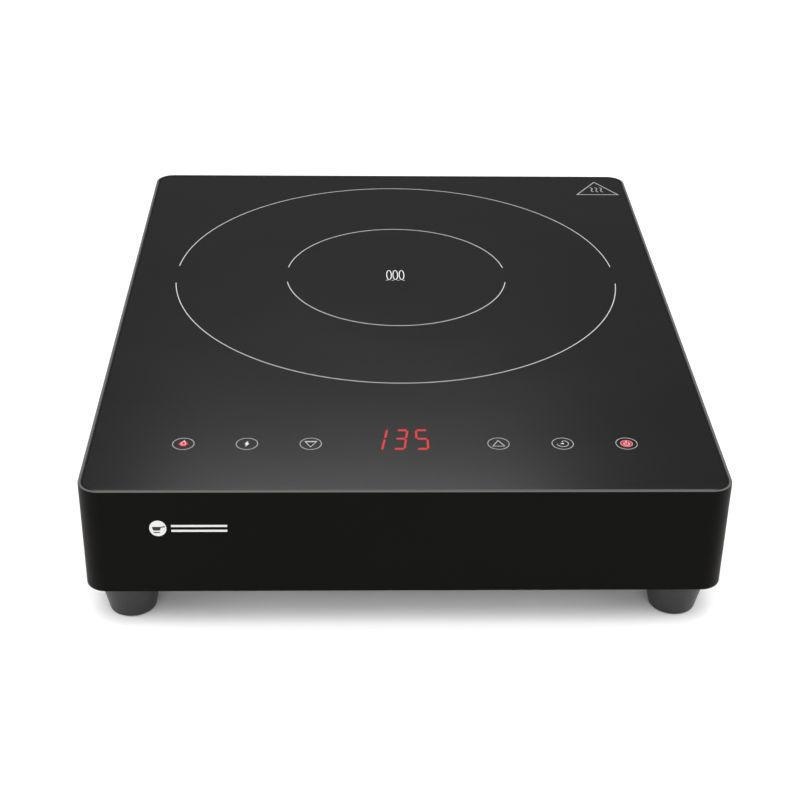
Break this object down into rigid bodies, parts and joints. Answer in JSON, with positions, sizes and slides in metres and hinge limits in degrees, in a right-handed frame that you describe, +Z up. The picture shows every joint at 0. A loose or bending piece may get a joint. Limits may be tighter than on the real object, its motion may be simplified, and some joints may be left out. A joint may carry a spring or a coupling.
{
  "type": "portable induction hob",
  "caption": "Countertop induction hob: black glass top with printed rings, touch keys and a red display, in a black housing on tapered feet, with coil, fan and electronics inside.",
  "frame": {"origin": "on the table, under the middle of the bounding box, which includes the cord gland at the rear", "axes": "+Z up, -Y towards the cook and the keys, +X to the cook's right"},
  "size_m": [0.337, 0.43, 0.085],
  "materials": {
    "housing_black": "matt powder coat",
    "glass_black": "polished black ceramic glass, opaque",
    "silicone_black": "matt",
    "base_grey": "satin",
    "foot_grey": "fine texture",
    "pad_black": "matt",
    "steel_zinc": "zinc plated",
    "gland_black": "satin",
    "gland_rubber": "matt",
    "terminal_white": "matt",
    "brass_plain": "bright",
    "lead_brown": "satin",
    "lead_blue": "satin",
    "lead_green": "satin, yellow stripe",
    "board_green": "solder mask",
    "sink_aluminium": "extruded",
    "device_black": "moulded",
    "film_blue": "cast",
    "film_white": "cast",
    "film_yellow": "cast",
    "can_sleeve": "shrink sleeve",
    "ferrite_dark": "sintered",
    "copper_litz": "twisted enamelled strands",
    "mica_grey": "pressed mica",
    "carrier_plastic": "glass filled",
    "spring_steel": "drawn wire",
    "fan_black": "moulded",
    "duct_grey": "moulded",
    "bracket_zinc": "galvanised",
    "sensor_ceramic": "bisque",
    "bead_silicone": "thermal silicone",
    "fuse_glass": "glazed tube with plated caps",
    "display_black": "gloss",
    "ribbon_grey": "satin",
    "socket_white": "matt"
  },
  "bodies": {
    "hob": {"air_duct": "duct_grey", "base_plate": "base_grey", "base_screws": "steel_zinc", "board_posts": "brass_plain", "board_screws": "steel_zinc", "board_sockets": "socket_white", "board_standoffs": "steel_zinc", "bridge_rectifier": "device_black", "choke_core": "ferrite_dark", "choke_windings": "copper_litz", "coil_pillars": "steel_zinc", "coil_screws": "steel_zinc", "control_board": "board_green", "control_bracket": "bracket_zinc", "display_module": "display_black", "earth_lead": "lead_green", "earth_stud": "steel_zinc", "fan_frame": "fan_black", "fan_lead": "device_black", "fan_screws": "steel_zinc", "fan_stator": "copper_litz", "filter_capacitors": "film_yellow", "foot_front_left": "foot_grey", "foot_front_right": "foot_grey", "foot_pads": "pad_black", "foot_rear_left": "foot_grey", "foot_rear_right": "foot_grey", "foot_screws": "steel_zinc", "frame_posts": "steel_zinc", "fuse": "fuse_glass", "gland_body": "gland_black", "gland_dome": "gland_black", "gland_nut": "gland_black", "gland_seal": "gland_rubber", "glass_seal": "silicone_black", "glass_top": "glass_black", "heat_sink": "sink_aluminium", "housing": "housing_black", "link_capacitor": "film_white", "live_lead": "lead_brown", "neutral_lead": "lead_blue", "power_board": "board_green", "power_transistors": "device_black", "resonant_capacitors": "film_blue", "ribbon_cable": "ribbon_grey", "smoothing_capacitors": "can_sleeve", "supply_transformer": "terminal_white", "terminal_block": "terminal_white", "touch_springs": "spring_steel", "transistor_screws": "steel_zinc"},
    "fan": {"fan_rotor": "fan_black"},
    "coil": {"coil_carrier": "carrier_plastic", "coil_winding": "copper_litz", "ferrite_bars": "ferrite_dark", "mica_sheet": "mica_grey", "coil_springs": "spring_steel", "coil_leads": "copper_litz"},
    "sensor": {"sensor_holder": "sensor_ceramic", "sensor_bead": "bead_silicone", "sensor_spring": "spring_steel"}
  },
  "joints": [
    {"name": "fan_spin", "type": "hinge", "parent": "hob", "child": "fan", "pos_m": [0.1255, -0.037, 0.038], "axis": [0, 0, 1], "continuous": true},
    {"name": "coil_float", "type": "slide", "parent": "hob", "child": "coil", "axis": [0, 0, 1], "range_m": [-0.0015, 0], "stiffness_N_per_m": 8000, "springref_m": 0.003, "deforming": ["coil_springs", "coil_leads"]},
    {"name": "sensor_plunge", "type": "slide", "parent": "coil", "child": "sensor", "axis": [0, 0, 1], "range_m": [-0.0015, 0], "stiffness_N_per_m": 500, "springref_m": 0.004, "deforming": ["sensor_spring"]}
  ]
}
